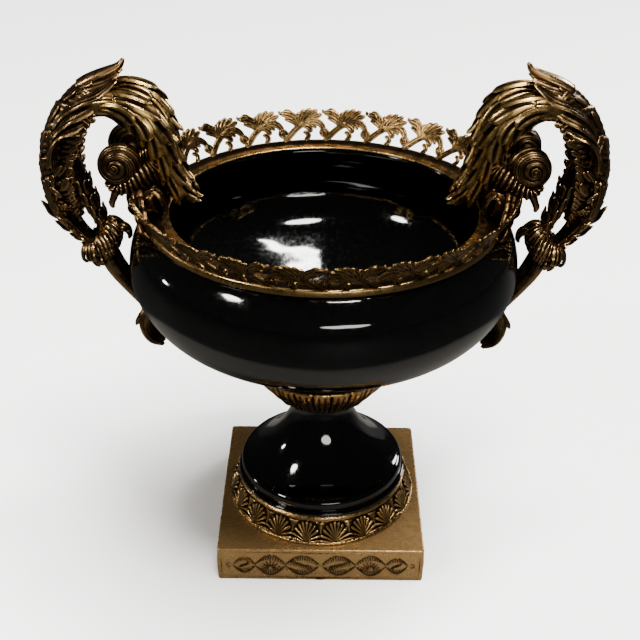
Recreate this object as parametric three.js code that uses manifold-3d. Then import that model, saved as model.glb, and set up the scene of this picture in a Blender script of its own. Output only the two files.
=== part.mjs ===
// Mantel urn: a black porcelain bowl and foot in gilt bronze mounts, with two acanthus handles.
// Millimetres, +Z up, +X along the handles, origin at the middle of the underside.
import * as THREE from "three";
import { mergeVertices } from "three/addons/utils/BufferGeometryUtils.js";
import Module from "manifold-3d";

const wasm = await Module();
wasm.setup();

// Driving dimensions
const GAP = 0.35; // left between pieces that touch
const FULL_TURN = 2 * Math.PI;

const PLINTH = { side: 190, height: 36, corner: 3, edge: 1.2 };
const BAND = { relief: 0.6, line: 1.2, inset: 3.5, lozenges: [[16, 11], [27, 17], [29, 15]], knot: 2.5 };

const RING = { bottom: PLINTH.height + GAP, top: 61, leaves: 20, samples: 4, lobe: 1.6, belly: 2.4 };
const RING_PROFILE = [[89.5, 0], [87.5, 8], [83.5, 16.5], [78.6, 24.6]];

const FOOT = { bottom: RING.top + GAP, top: 141, segments: 36 };
const FOOT_PROFILE = [
  [77.5, 0], [79, 2.4], [76, 6], [76.2, 9.5], [73, 14.5], [61, 23.5], [49.5, 35], [40, 48],
  [33.5, 61], [29.6, 72], [28.5, 79.6],
];

const BOWL = { wall: 7, segments: 44, rows: 8, rim: 332.5 };
const BOWL_PROFILE = [
  [0, 178], [28, 178.6], [50, 184.5], [75, 199], [105, 218], [126, 231.6], [145, 246], [157.5, 262],
  [164.2, 279], [164.5, 294], [160.5, 311], [153.5, 322], [146, 329], [139, 331.8], [131, BOWL.rim],
];

const CALYX = { bottom: FOOT.top + GAP, lip: 66, flutes: 24, flute: 1.8 };
const CALYX_PROFILE = [[29.5, 0], [36, 4.2], [42, 8.8], [49.5, 17.5], [58, 29], [65.5, 44]];

const RIM = { plate: BOWL.rim + GAP, thick: 1.9, mouth: 129, outer: 148.6, skirt: 329.4, segments: 48 };
const GALLERY = { pitches: 24, motifsEachSide: 10, foot: 147.6, lean: 31, thick: 3.2, lap: 0.006 };
// One scroll of the gallery in parts of its pitch, cut at its middle strut: its outline, with the hooked
// lobe, the side leaf and five leaf tips along its top, and its three openings. No three corners are in line.
const SCROLL = [
  [-0.5 - GALLERY.lap, -0.02], [0, -0.03], [0.5 + GALLERY.lap, -0.02], [0.5 + GALLERY.lap, 0.72],
  [0.45, 0.76], [0.34, 0.57], [0.2, 0.74], [-0.01, 0.71], [-0.14, 0.65], [-0.16, 0.83], [-0.28, 0.68],
  [-0.36, 0.84], [-0.5 - GALLERY.lap, 0.7],
];
const SCROLL_OPENINGS = [
  [[0.14, 0.07], [0.46, 0.06], [0.46, 0.32]],
  [[-0.44, 0.075], [-0.14, 0.065], [-0.16, 0.37], [-0.4, 0.39]],
  [[0.03, 0.2], [0.22, 0.38], [0.15, 0.55], [0, 0.61]],
];

// Handle on the +X side. Paths are [x, z] in the plane of the handle.
const ARM = {
  path: [[194, 299], [206, 309.5], [219, 321], [230, 337], [235, 357], [233, 384], [224, 406],
    [206, 431], [185, 446.5], [167, 451], [153.5, 461]],
  depth: [11, 15, 22, 29, 31.5, 31.5, 31, 28, 18, 9, 2.5],
  halfWidth: [16, 18, 21, 24, 25, 25, 25, 23.5, 17, 8.5, 1.8],
  wall: 4.5, rows: 15, columns: 4, lobes: 5, frill: 3,
};
const SLOT = { from: [190, 293], to: [222, 334], halfWidth: 8, taper: 0.15, deep: 60 };
const HORN_LEAF = { path: [[222, 398], [207, 418], [188, 433], [173, 438.5], [163, 446]], y: 13, halfWidth: 9 };
const CHEEK_LEAF = { path: [[226, 372], [214, 396], [200, 410], [190, 413], [183, 411.5]], y: 21, halfWidth: 8 };
const STRAND = {
  path: [[197, 419], [181, 425], [166, 427], [152, 423], [141.5, 414], [135, 402], [131, 389],
    [127.5, 375], [123, 361], [116, 348], [107, 337.5]],
  half: [6.5, 7, 7, 7.5, 8.5, 9.5, 10.5, 9.5, 7.5, 5.5, 1.6],
  y: [20, 20, 19, 18, 17, 15.5, 13.5, 12, 10.5, 8.5, 4],
  halfWidth: [7, 8, 8.5, 9, 10, 11, 12, 12, 11, 8, 3],
  rows: 8, sides: 6, flute: 0.84,
};
const VOLUTE = { x: 165, z: 378.5, y: 24, radius: 17.5, halfWidth: 8.5, eye: 5 };
const SHELL = {
  path: [[134, 384], [140, 369], [152, 359], [166, 356], [177, 363.5], [180, 377]],
  half: [9, 9, 7.5, 6, 5, 3.5], halfWidth: [9, 10, 10, 9.5, 8.5, 7],
};
const TAIL = { path: [[168, 357], [171, 349], [172, 340.5]], half: [4.5, 3, 1.2] };
const SEAT = {
  outline: [[128, 335.4], [128, 352], [135, 364], [157, 358], [158, 351], [148.5, 335.4]],
  halfWidth: 33,
};
const COLLAR = { from: [190.5, 306], to: [181.5, 281], lobes: 6, waist: 10.5, flare: 16.5, wide: 1.45 };
const STEM = {
  path: [[186, 296], [180, 279], [171, 265], [161.5, 252], [150, 238], [139, 227]],
  half: [8, 8.5, 7.5, 6.5, 6, 6], halfWidth: [15, 14, 13, 12.5, 12.5, 13], flute: 0.86,
};
const TOE = {
  outline: [[163, 250], [160, 236], [166.5, 227], [157, 211.5], [146, 205], [132, 204.5], [112, 219],
    [150, 262]],
  halfWidth: 15,
};

// Porcelain and gilt bronze
const porcelain = new THREE.MeshStandardMaterial({ color: 0x050505, roughness: 0.06, metalness: 0 });
const gilt = new THREE.MeshStandardMaterial({ color: 0x8a6432, roughness: 0.38, metalness: 1 });

// Moves every vertex of a geometry and returns the geometry.
function warp(geometry, move) {
  const place = geometry.attributes.position;
  const point = new THREE.Vector3();
  for (let i = 0; i < place.count; i++) {
    move(point.fromBufferAttribute(place, i));
    place.setXYZ(i, point.x, point.y, point.z);
  }
  return geometry;
}

// A geometry as a manifold solid, for joins and cuts.
function solid(geometry) {
  geometry.deleteAttribute("normal");
  geometry.deleteAttribute("uv");
  const merged = mergeVertices(geometry, 1e-3);
  return new wasm.Manifold(new wasm.Mesh({
    numProp: 3,
    vertProperties: merged.attributes.position.array,
    triVerts: new Uint32Array(merged.index.array),
  }));
}

// A manifold solid as a three.js geometry.
function geometryOf(body) {
  const { vertProperties, triVerts } = body.getMesh();
  const geometry = new THREE.BufferGeometry();
  geometry.setAttribute("position", new THREE.BufferAttribute(vertProperties, 3));
  geometry.setIndex(new THREE.BufferAttribute(triVerts, 1));
  geometry.computeVertexNormals();
  return geometry;
}

// The body's outer shell alone, which fills any pocket sealed inside it.
const outerShell = (body) => body.decompose().reduce((a, b) => (b.volume() > a.volume() ? b : a));

const joined = (geometries) => geometries.map(solid).reduce((whole, next) => whole.add(next));

function mesh(name, geometry, material) {
  const piece = new THREE.Mesh(geometry, material);
  piece.name = name;
  return piece;
}

// A profile of [radius, z] points turned about Z, each radius passed through shape(radius, angle, z).
function turned(profile, segments, shape = (radius) => radius) {
  const points = profile.map(([radius, z]) => new THREE.Vector2(radius, z));
  return warp(new THREE.LatheGeometry(points, segments), (v) => {
    const radius = Math.hypot(v.x, v.z);
    const angle = Math.atan2(v.x, v.z);
    const moved = radius > 0 ? shape(radius, angle, v.y) : 0;
    v.set(moved * Math.cos(angle), moved * Math.sin(angle), v.y);
  });
}

const raised = (profile, z) => profile.map(([radius, height]) => [radius, height + z]);

// A smooth path in the XZ plane through [x, z] points.
const pathThrough = (points) => new THREE.CatmullRomCurve3(points.map(([x, z]) => new THREE.Vector3(x, 0, z)));

// The value at share t of a row of values spread evenly over 0 to 1.
function valueAt(values, t) {
  const place = t * (values.length - 1);
  const i = Math.min(Math.floor(place), values.length - 2);
  return THREE.MathUtils.lerp(values[i], values[i + 1], place - i);
}

// The point beside an XZ path, out from the bowl being to the right of the way it runs.
function beside(path, t, outward, y) {
  const at = path.getPoint(t);
  const along = path.getTangent(t);
  return [at.x + along.z * outward, y, at.z - along.x * outward];
}

// A closed body along an XZ path, with a section of outward and sideways half sizes.
function swept({ path, half, halfWidth, y = [0, 0], rows = 6, sides = 8, flute = 1 }) {
  const curve = pathThrough(path);
  return warp(new THREE.CylinderGeometry(1, 1, 1, sides, rows), (v) => {
    const t = v.y + 0.5;
    const corner = Math.round((Math.atan2(v.z, v.x) / FULL_TURN) * sides);
    const scale = corner % 2 ? flute : 1;
    const outward = v.x * scale * valueAt(half, t);
    v.set(...beside(curve, t, outward, valueAt(y, t) - v.z * scale * valueAt(halfWidth, t)));
  });
}

// A closed sheet: place(t along, s across from -1 to 1, inner or not) gives each point.
function sheet(rows, columns, place) {
  return warp(new THREE.BoxGeometry(1, 1, 1, columns, rows, 1), (v) => {
    v.set(...place(v.y + 0.5, 2 * v.x, v.z > 0));
  });
}

// A pointed leaf lying along an XZ path at y, ridged in the middle.
function leaf({ path, y, halfWidth }, thick = 4) {
  const curve = pathThrough(path);
  return sheet(4, 2, (t, s, inner) => {
    const width = halfWidth * Math.sqrt(Math.max(0.02, 1 - t ** 2.4));
    const ridge = (1 - Math.abs(s)) * 2.5 - (inner ? 0 : -thick * (1.05 - t));
    return beside(curve, t, ridge, y - s * width);
  });
}

// An outline of [x, z] points pushed out to both sides of the XZ plane.
function plate(outline, halfWidth) {
  const shape = new THREE.Shape(outline.map(([x, z]) => new THREE.Vector2(x, z)));
  return new THREE.ExtrudeGeometry(shape, { depth: 2 * halfWidth, bevelEnabled: false })
    .translate(0, 0, -halfWidth)
    .rotateX(Math.PI / 2);
}

// Square block with rounded corners, and on each side a raised border and a row of lozenges.
function plinth() {
  const flat = PLINTH.side / 2 - BAND.relief;
  const reach = flat - PLINTH.corner;
  const square = new THREE.Shape();
  square.absarc(reach, -reach, PLINTH.corner, -Math.PI / 2, 0);
  square.absarc(reach, reach, PLINTH.corner, 0, Math.PI / 2);
  square.absarc(-reach, reach, PLINTH.corner, Math.PI / 2, Math.PI);
  square.absarc(-reach, -reach, PLINTH.corner, Math.PI, 1.5 * Math.PI);
  const block = new THREE.ExtrudeGeometry(square, {
    depth: PLINTH.height - 2 * PLINTH.edge, curveSegments: 4,
    bevelThickness: PLINTH.edge, bevelSize: PLINTH.edge, bevelOffset: -PLINTH.edge, bevelSegments: 1,
  }).translate(0, 0, PLINTH.edge);
  let body = solid(block);
  for (let side = 0; side < 4; side++)
    for (const relief of bandShapes())
      body = body.add(solid(
        new THREE.ExtrudeGeometry(relief, { depth: BAND.relief + 1, bevelEnabled: false, curveSegments: 3 })
          .rotateX(Math.PI / 2)
          .translate(0, -flat + 1, PLINTH.height / 2)
          .rotateZ((side * Math.PI) / 2),
      ));
  return geometryOf(body);
}

// The border line and the lozenges of one side of the plinth, about its middle.
function bandShapes() {
  const halfLong = PLINTH.side / 2 - BAND.relief - BAND.inset;
  const halfTall = PLINTH.height / 2 - BAND.inset;
  const border = rectangle(halfLong, halfTall);
  border.holes.push(rectangle(halfLong - BAND.line, halfTall - BAND.line));
  const shapes = [border];
  for (const hand of [-1, 1]) {
    let from = BAND.knot;
    for (const [long, tall] of [...BAND.lozenges].reverse()) {
      shapes.push(lozenge(hand * (from + long / 2), long, tall));
      from += long + BAND.knot;
    }
  }
  return shapes;
}

function rectangle(halfLong, halfTall) {
  return new THREE.Shape([
    new THREE.Vector2(-halfLong, -halfTall), new THREE.Vector2(halfLong, -halfTall),
    new THREE.Vector2(halfLong, halfTall), new THREE.Vector2(-halfLong, halfTall),
  ]);
}

function lozenge(middle, long, tall) {
  const shape = new THREE.Shape();
  shape.moveTo(middle - long / 2, 0);
  shape.quadraticCurveTo(middle, -tall, middle + long / 2, 0);
  shape.quadraticCurveTo(middle, tall, middle - long / 2, 0);
  return shape;
}

// Sloping ring cast with a row of acanthus palmettes that stand on its outer edge.
function acanthusRing() {
  const profile = [[0, RING.bottom], ...raised(RING_PROFILE, RING.bottom), [0, RING.top]];
  return turned(profile, RING.leaves * RING.samples, (radius, angle, z) => {
    const u = (((angle / FULL_TURN) * RING.leaves) % 1 + 1) % 1; // 0 and 1 between two leaves
    const rise = (z - RING.bottom) / (RING.top - RING.bottom);
    const fan = Math.sin(Math.PI * u) * Math.sin(Math.PI * Math.min(1, rise + 0.1));
    const lobes = Math.round(u * RING.samples) % 2 ? -RING.lobe / 2 : RING.lobe / 2;
    return radius - RING.belly + RING.belly * fan + lobes * fan;
  });
}

function foot() {
  return turned([[0, FOOT.bottom], ...raised(FOOT_PROFILE, FOOT.bottom), [0, FOOT.top]], FOOT.segments);
}

// The outer line of the bowl, from the middle of its underside to the lip.
function bowlLine() {
  const curve = new THREE.SplineCurve(BOWL_PROFILE.map(([radius, z]) => new THREE.Vector2(radius, z)));
  return Array.from({ length: BOWL.rows + 1 }, (_, i) => {
    const t = i / BOWL.rows;
    return { at: curve.getPoint(t), along: curve.getTangent(t) };
  });
}

// The bowl's line moved outward by a distance, or inward when it is negative. It starts on the axis.
const bowlOffset = (out) => bowlLine().map(({ at, along }, i) => [
  i === 0 ? 0 : at.x + along.y * out, at.y - along.x * out,
]);

function bowl() {
  return turned([...bowlOffset(0), ...bowlOffset(-BOWL.wall).reverse()], BOWL.segments);
}

// Flared cup of upright flutes under the bowl, hollowed to its underside.
function calyx() {
  const seat = bowlOffset(GAP).filter(([radius]) => radius < CALYX.lip);
  const profile = [[0, CALYX.bottom], ...raised(CALYX_PROFILE, CALYX.bottom), ...seat.reverse()];
  return turned(profile, CALYX.flutes * 2, (radius, angle, z) => {
    const seatHere = z > CALYX.bottom + 36;
    const valley = Math.round((angle / FULL_TURN) * CALYX.flutes * 2) % 2;
    return valley && !seatHere && z > CALYX.bottom ? radius - CALYX.flute : radius;
  });
}

// Flat rim ring with a skirt over the shoulder, and the pierced gallery that leans out from it.
function rimGallery() {
  const top = RIM.plate + RIM.thick;
  const ring = turned([
    [RIM.mouth, RIM.plate], [RIM.outer - 1.8, RIM.plate], [RIM.outer - 1.8, RIM.skirt],
    [RIM.outer, RIM.skirt], [RIM.outer, top], [RIM.mouth + 0.6, top], [RIM.mouth, RIM.plate],
  ], RIM.segments);
  let body = solid(ring);
  for (const middle of [0.25, 0.75])
    for (let i = 0; i < GALLERY.motifsEachSide; i++)
      body = body.add(solid(scroll(middle * GALLERY.pitches + i + (1 - GALLERY.motifsEachSide) / 2, top)));
  return geometryOf(body);
}

// One scroll of the gallery, standing on the rim ring a number of pitches round from +X.
function scroll(place, top) {
  const { pitches, foot, lean, thick } = GALLERY;
  const step = FULL_TURN / pitches;
  const pitch = step * (foot + 8);
  const tilt = THREE.MathUtils.degToRad(lean);
  const scaled = (points) => points.map(([u, v]) => new THREE.Vector2(u * pitch, v * pitch));
  const outline = new THREE.Shape(scaled(SCROLL));
  outline.holes = SCROLL_OPENINGS.map((opening) => new THREE.Path(scaled(opening)));
  return warp(new THREE.ExtrudeGeometry(outline, { depth: thick, bevelEnabled: false }), (v) => {
    const angle = (place - v.x / pitch) * step;
    const radius = foot + v.y * Math.sin(tilt) - v.z * Math.cos(tilt);
    v.set(radius * Math.cos(angle), radius * Math.sin(angle),
      top + v.y * Math.cos(tilt) + v.z * Math.sin(tilt));
  });
}

// Broad leaf of the handle, hollow towards the bowl, from the collar over the top to the horn.
function arm() {
  const curve = pathThrough(ARM.path);
  const strap = sheet(ARM.rows, ARM.columns, (t, s, inner) => {
    const wall = inner ? Math.min(ARM.wall, 0.45 * valueAt(ARM.depth, t)) : 0;
    const turn = (s * Math.PI) / 2;
    const saw = (t * ARM.lobes + 0.6 * Math.abs(s)) % 1;
    const frill = inner || t > 0.93 ? 0 : ARM.frill * (saw - 0.5);
    const depth = valueAt(ARM.depth, t) - wall + (Math.abs(s) > 0.9 ? frill : 0);
    const width = valueAt(ARM.halfWidth, t) - wall + frill * Math.abs(s);
    const inward = wall + depth * (1 - Math.cos(turn)) - frill * (1 - Math.abs(s)) * 0.6;
    return beside(curve, t, -inward, -width * Math.sin(turn));
  });
  return solid(strap).subtract(solid(slotCutter()));
}

// Wedge that parts the foot of the arm into a front and a back strand.
function slotCutter() {
  const [x0, z0] = SLOT.from;
  const [x1, z1] = SLOT.to;
  const angle = Math.atan2(z1 - z0, x1 - x0);
  return warp(new THREE.BoxGeometry(Math.hypot(x1 - x0, z1 - z0), 2 * SLOT.halfWidth, SLOT.deep), (v) => {
    if (v.x > 0) v.y *= SLOT.taper;
  })
    .rotateY(-angle)
    .translate((x0 + x1) / 2, 0, (z0 + z1) / 2);
}

// Twin snail of one side: a domed disc with a turned eye.
function volute(hand) {
  const { radius, halfWidth, eye } = VOLUTE;
  const face = [[radius, 0.5], [eye * 1.8, 0.8], [eye, 1.1], [0, 1.2]];
  const back = [[0, -1], [radius, -0.5]];
  return turned([...back, ...face].map(([r, z]) => [r, z * halfWidth]), 10)
    .rotateX((hand * -Math.PI) / 2)
    .translate(VOLUTE.x, hand * VOLUTE.y, VOLUTE.z);
}

// Ring of curled lobes, wider across than along the handle.
function collar() {
  const [x0, z0] = COLLAR.from;
  const [x1, z1] = COLLAR.to;
  const curve = new THREE.LineCurve3(new THREE.Vector3(x0, 0, z0), new THREE.Vector3(x1, 0, z1));
  const sides = COLLAR.lobes * 2;
  return warp(new THREE.CylinderGeometry(1, 1, 1, sides, 4), (v) => {
    const t = v.y + 0.5;
    const corner = Math.round((Math.atan2(v.z, v.x) / FULL_TURN) * sides);
    const flare = valueAt([0.1, 0.85, 1, 0.6, 0.1], t);
    const lobe = THREE.MathUtils.lerp(COLLAR.waist, COLLAR.flare - (corner % 2 ? 3.5 : 0), flare);
    v.set(...beside(curve, t, v.x * lobe, -v.z * lobe * COLLAR.wide));
  });
}

// The whole handle, one casting, cut clear of the bowl that it hugs.
function handle() {
  const pieces = [
    plate(SEAT.outline, SEAT.halfWidth),
    plate(TOE.outline, TOE.halfWidth),
    swept({ ...STEM, rows: 5, sides: 8 }),
    collar(),
  ];
  for (const hand of [-1, 1]) {
    pieces.push(leaf({ ...HORN_LEAF, y: hand * HORN_LEAF.y }), leaf({ ...CHEEK_LEAF, y: hand * CHEEK_LEAF.y }));
    pieces.push(swept({ ...STRAND, y: STRAND.y.map((y) => hand * y) }));
    pieces.push(volute(hand));
    pieces.push(swept({ ...SHELL, y: [hand * 15, hand * VOLUTE.y], rows: 6, sides: 6 }));
    const tail = { ...TAIL, halfWidth: TAIL.half, y: [hand * VOLUTE.y, hand * VOLUTE.y] };
    pieces.push(swept({ ...tail, rows: 2, sides: 4 }));
  }
  const clearance = turned([...bowlOffset(0.6), [0, BOWL.rim]], BOWL.segments);
  return geometryOf(outerShell(joined(pieces).add(arm()).subtract(solid(clearance))));
}

const handleGeometry = handle();
const handleRight = mesh("handle_right", handleGeometry, gilt);
const handleLeft = mesh("handle_left", handleGeometry, gilt);
handleLeft.rotation.z = Math.PI;

const urn = new THREE.Group();
urn.add(
  mesh("plinth", plinth(), gilt),
  mesh("acanthus_ring", acanthusRing(), gilt),
  mesh("foot", foot(), porcelain),
  mesh("calyx", calyx(), gilt),
  mesh("bowl", bowl(), porcelain),
  mesh("rim_gallery", rimGallery(), gilt),
  handleLeft,
  handleRight,
);
export default urn;
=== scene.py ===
"""Dresses the mantel urn: glazed porcelain bowl and foot, and the chased gilt bronze mounts."""

import math

import bmesh
import bpy
import numpy as np
from mathutils import Matrix, Vector
from mathutils.bvhtree import BVHTree
from mathutils.noise import noise as noise_at


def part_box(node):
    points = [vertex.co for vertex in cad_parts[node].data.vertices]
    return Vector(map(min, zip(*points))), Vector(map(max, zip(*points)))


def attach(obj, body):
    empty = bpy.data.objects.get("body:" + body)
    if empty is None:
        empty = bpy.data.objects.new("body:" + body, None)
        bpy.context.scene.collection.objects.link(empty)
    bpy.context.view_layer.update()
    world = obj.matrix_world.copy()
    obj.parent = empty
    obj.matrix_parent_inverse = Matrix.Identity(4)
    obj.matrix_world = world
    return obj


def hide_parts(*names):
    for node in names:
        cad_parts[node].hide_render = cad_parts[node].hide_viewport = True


bl_info = {
    "name": "Mantel Urn",
    "version": (1, 0, 0),
    "blender": (4, 5, 0),
    "location": "View3D > Sidebar > Urn",
    "description": "Builds a black porcelain mantel urn in gilt bronze mounts",
    "category": "Add Mesh",
}

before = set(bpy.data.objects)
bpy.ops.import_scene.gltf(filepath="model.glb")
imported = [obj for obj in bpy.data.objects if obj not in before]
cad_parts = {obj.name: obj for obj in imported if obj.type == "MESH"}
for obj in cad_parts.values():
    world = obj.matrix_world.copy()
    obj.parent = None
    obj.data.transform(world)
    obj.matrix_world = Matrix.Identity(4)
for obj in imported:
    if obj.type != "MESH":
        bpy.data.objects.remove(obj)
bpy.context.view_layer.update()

MM = 0.001
TURN = 2 * math.pi
MERGE = 0.01  # corners closer than this many millimetres become one

# Profiles from the axis outwards, as radius and height in millimetres.
BOWL_LINE = [
    (0, 178), (28, 178.6), (50, 184.5), (75, 199), (105, 218), (126, 231.6), (145, 246), (157.5, 262),
    (164.2, 279), (164.5, 294), (160.5, 311), (153.5, 322), (146, 329), (139, 331.8), (132.5, 332.3),
]
FOOT_LINE = [
    (76.5, 61.5), (78.6, 62.2), (79.0, 63.4), (78.4, 64.8), (76.4, 65.5), (75.2, 66.0), (75.2, 66.9),
    (76.2, 68.0), (76.6, 70.5), (76.4, 73), (75.6, 75), (73.8, 76.6), (70.0, 78.3), (61.0, 84.4),
    (49.0, 95.6), (39.0, 108.4), (31.8, 121.4), (27.6, 132.4), (26.3, 140.9),
]
CALYX_LINE = [
    (27.4, 141.6), (31.5, 143.0), (35.5, 145.6), (41, 149.8), (45.4, 153.4), (50.6, 160.2),
    (58.9, 170.4), (63.4, 178.6), (65.5, 185.2),
]
RING_LINE = [(87.2, 36.5), (86.2, 41), (84.2, 46), (81.6, 52), (78.6, 58.2)]

# Lines of the right handle in its own plane, as distance out and height.
ARM_LINE = [
    (215, 311), (221, 317.5), (228, 327.5), (232.6, 342), (234.2, 360), (232.4, 384), (224.5, 406),
    (208.5, 429), (191, 441), (177, 445.5), (167, 448),
]
# Along the arm: how deep its channel is, and half its width.
ARM_DEPTH = [17, 21, 25, 28, 29.5, 29.5, 29, 28, 25, 17, 7]
ARM_WIDTH = [8, 11.5, 16, 20.5, 23.5, 24, 24.5, 25, 23, 14, 4]
# The two strands that the arm parts into above the collar: line, half thickness, half width, and
# the side that their leaves stand on.
ARM_STRANDS = (
    ([(189, 296), (196.5, 301), (204, 308), (211.5, 317.5), (219.5, 331), (223.5, 348), (224, 366)],
     [5, 4.6, 5.2, 7, 8.5, 8.5, 6], [8.5, 9.5, 11, 13.5, 17, 20, 18], 1),
    ([(182.5, 303), (185.5, 312), (189.5, 322), (195, 334), (200.5, 348), (204, 362), (206, 376)],
     [4.5, 4.6, 5, 5.4, 5.6, 5, 3.5], [8, 9, 10, 12, 14, 16, 14], -1),
)
# The drooping strands: line, and how far to the side, how thick and how wide each is along it.
STRAND_LINE = [
    (199, 418), (190, 422.5), (181, 425), (166, 427), (152, 423), (141.5, 414), (135, 402),
    (131.5, 389), (128, 375), (123, 361), (116, 348), (108, 338.5),
]
STRAND_SIDE = [12, 14, 16, 18.5, 18.5, 17.5, 15.5, 13.5, 12, 10.5, 8.5, 4]
STRAND_THICK = [3, 6.5, 8.6, 9.6, 9.8, 9.4, 8.4, 7.4, 6.4, 5.2, 4.0, 1.5]
STRAND_WIDTH = [4, 6.5, 7.6, 8.8, 9.6, 10, 9.6, 8.6, 7.6, 6.6, 5.0, 2.4]


def spread(values, count):
    """A row of values, evenly placed from start to end, as count + 1 smoothly changing ones."""
    return smooth_line([(value,) for value in values], count)[:, 0]


def smooth_line(points, count):
    """A smooth line through the points as count + 1 places."""
    known = np.array(points, float)
    known = np.vstack([2 * known[0] - known[1], known, 2 * known[-1] - known[-2]])
    places = []
    for share in np.linspace(0, len(points) - 1, count + 1):
        k = min(int(share), len(points) - 2)
        t = share - k
        a, b, c, d = known[k:k + 4]
        places.append(
            b + 0.5 * t * (c - a + t * (2 * a - 5 * b + 4 * c - d + t * (3 * b - a - 3 * c + d)))
        )
    return np.array(places)


def unit(vectors):
    """Each row of an array at length one."""
    return vectors / np.maximum(np.linalg.norm(vectors, axis=-1, keepdims=True), 1e-9)


def cloth(bm, columns, rows, place):
    """A grid whose corners go to place(across, along), both from 0 to 1."""
    verts = bmesh.ops.create_grid(bm, x_segments=columns, y_segments=rows, size=0.5)["verts"]
    for vert in verts:
        vert.co = place(vert.co.x + 0.5, vert.co.y + 0.5)
    return verts


def closed_cloth(bm, columns, rows, place, close=MERGE):
    """A cloth whose corners are made one wherever they meet, so that it shuts."""
    verts = cloth(bm, columns, rows, place)
    bmesh.ops.remove_doubles(bm, verts=verts, dist=close)


def handed(points, hand):
    """The points as they are for hand 1, or in the other half of a handle for hand -1."""
    return [(x, hand * y, z) for x, y, z in points]


def turned(bm, line, steps, closed=False):
    """A line of radius and height turned about the urn's axis."""
    verts = [bm.verts.new((radius, 0, z)) for radius, z in line]
    edges = [bm.edges.new(pair) for pair in zip(verts, verts[1:])]
    if closed:
        edges.append(bm.edges.new((verts[-1], verts[0])))
    bmesh.ops.spin(
        bm, geom=verts + edges, cent=(0, 0, 0), axis=(0, 0, 1), dvec=(0, 0, 0),
        angle=TURN, steps=steps, use_merge=True,
    )
    bmesh.ops.remove_doubles(bm, verts=bm.verts, dist=MERGE)


def sweep(bm, line, width, thick, *, rows, sides, side=(0, 1, 0), flutes=0, flute=0.0):
    """A closed body along a line, flat across side, with flutes along it, each cut to a share of its
    thickness. It narrows to a point at both ends. Width and thick are half sizes at even steps
    along it."""
    middle = smooth_line(line, rows)
    along = unit(np.gradient(middle, axis=0))
    across = np.array(side, float)
    across = unit(across - along * np.sum(across * along, axis=-1, keepdims=True))
    up = np.cross(along, across)
    wide, high = spread(width, rows), spread(thick, rows)
    wide[0] = wide[-1] = high[0] = high[-1] = 0

    def place(around, share):
        i = round(share * rows)
        c, s = math.cos(around * TURN), math.sin(around * TURN)
        ridge = 0.5 - 0.5 * math.cos(math.pi * (flutes * c + flutes % 2)) if flutes else 1
        lift = s * high[i] * (1 - flute * (1 - ridge))
        return middle[i] + across[i] * c * wide[i] + up[i] * lift

    closed_cloth(bm, sides, rows, place)


def blade(bm, points, wide, thick, *, tip, flute=0.5, **look):
    """A leaf lobe: narrow where it starts, broad past the middle, with a rounded tip."""
    sweep(
        bm, points, [wide * 0.45, wide * 0.7, wide * 0.95, wide, wide * 0.85, wide * tip],
        [thick * 0.7, thick, thick, thick * 0.9, thick * 0.75, thick * tip], flute=flute, **look,
    )


def mark_hollow_shade(bm, near=6.0, unit_size=1.0):
    """Stores on each corner, as "hollow", how much of its view is closed in by what stands within
    near millimetres of it, where the bmesh is drawn in units of unit_size millimetres. The gilding
    is darkened by it as painted shade where nearby parts close in."""
    bm.normal_update()
    layer = bm.verts.layers.float.get("hollow") or bm.verts.layers.float.new("hollow")
    tree = BVHTree.FromBMesh(bm)
    reach = near / unit_size
    clear = 0.12 / unit_size  # a ray starts this far off the surface
    rays = [(0, 0, 1)]
    for tilt, count, first in ((38, 4, 0.3), (66, 5, 0.9)):
        s, c = math.sin(math.radians(tilt)), math.cos(math.radians(tilt))
        turns = [first + TURN * k / count for k in range(count)]
        rays += [(s * math.cos(turn), s * math.sin(turn), c) for turn in turns]
    for vert in bm.verts:
        normal = vert.normal
        aside = normal.orthogonal().normalized()
        third = normal.cross(aside)
        start = vert.co + normal * clear
        closed = 0.0
        for u, v, w in rays:
            distance = tree.ray_cast(start, aside * u + third * v + normal * w, reach)[3]
            if distance is not None:
                closed += 1 - distance / reach
        vert[layer] = closed / len(rays)


def finish_piece(bm, name, material, nodes=(), slot="gilt", reach=0.4, steps=6):
    """Turns a bmesh in millimetres into a finished object that rides on the urn."""
    bmesh.ops.remove_doubles(bm, verts=bm.verts, dist=MERGE / 10)
    bmesh.ops.dissolve_degenerate(bm, edges=bm.edges, dist=MERGE / 10)
    bmesh.ops.recalc_face_normals(bm, faces=bm.faces)
    if bm.verts.layers.float.get("hollow") is None:
        mark_hollow_shade(bm)
    bmesh.ops.scale(bm, vec=(MM, MM, MM), verts=bm.verts)
    for face in bm.faces:
        face.smooth = True
    mesh = bpy.data.meshes.new(name)
    bm.to_mesh(mesh)
    bm.free()
    mark_wear(mesh, reach * MM, steps)
    mesh.materials.append(material)
    return place_piece(name, mesh, nodes)


def place_piece(name, mesh, nodes):
    """Adds a finished mesh to the scene as a piece that rides on the urn."""
    piece = bpy.data.objects.new(name, mesh)
    bpy.context.scene.collection.objects.link(piece)
    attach(piece, "root")
    if nodes:
        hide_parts(*nodes)
    return piece


def mark_wear(mesh, reach, steps):
    """Stores how far each corner stands out, above 0, or lies in a hollow, below 0, as "wear"."""
    count = len(mesh.vertices)
    place = np.empty(count * 3)
    normal = np.empty(count * 3)
    ends = np.empty(len(mesh.edges) * 2, int)
    mesh.vertices.foreach_get("co", place)
    mesh.vertices.foreach_get("normal", normal)
    mesh.edges.foreach_get("vertices", ends)
    place, normal = place.reshape(-1, 3), normal.reshape(-1, 3)
    one, other = ends[::2], ends[1::2]
    both, across = np.concatenate([one, other]), np.concatenate([other, one])
    share = np.maximum(np.bincount(both, minlength=count), 1)
    around = place.copy()
    for _ in range(steps):
        around = np.stack(
            [np.bincount(both, around[across, k], count) / share for k in range(3)], axis=1
        )
    wear = np.sum((place - around) * normal, axis=1) / reach
    mesh.attributes.new("wear", "FLOAT", "POINT").data.foreach_set("value", wear.astype(np.float32))


# Materials


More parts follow.
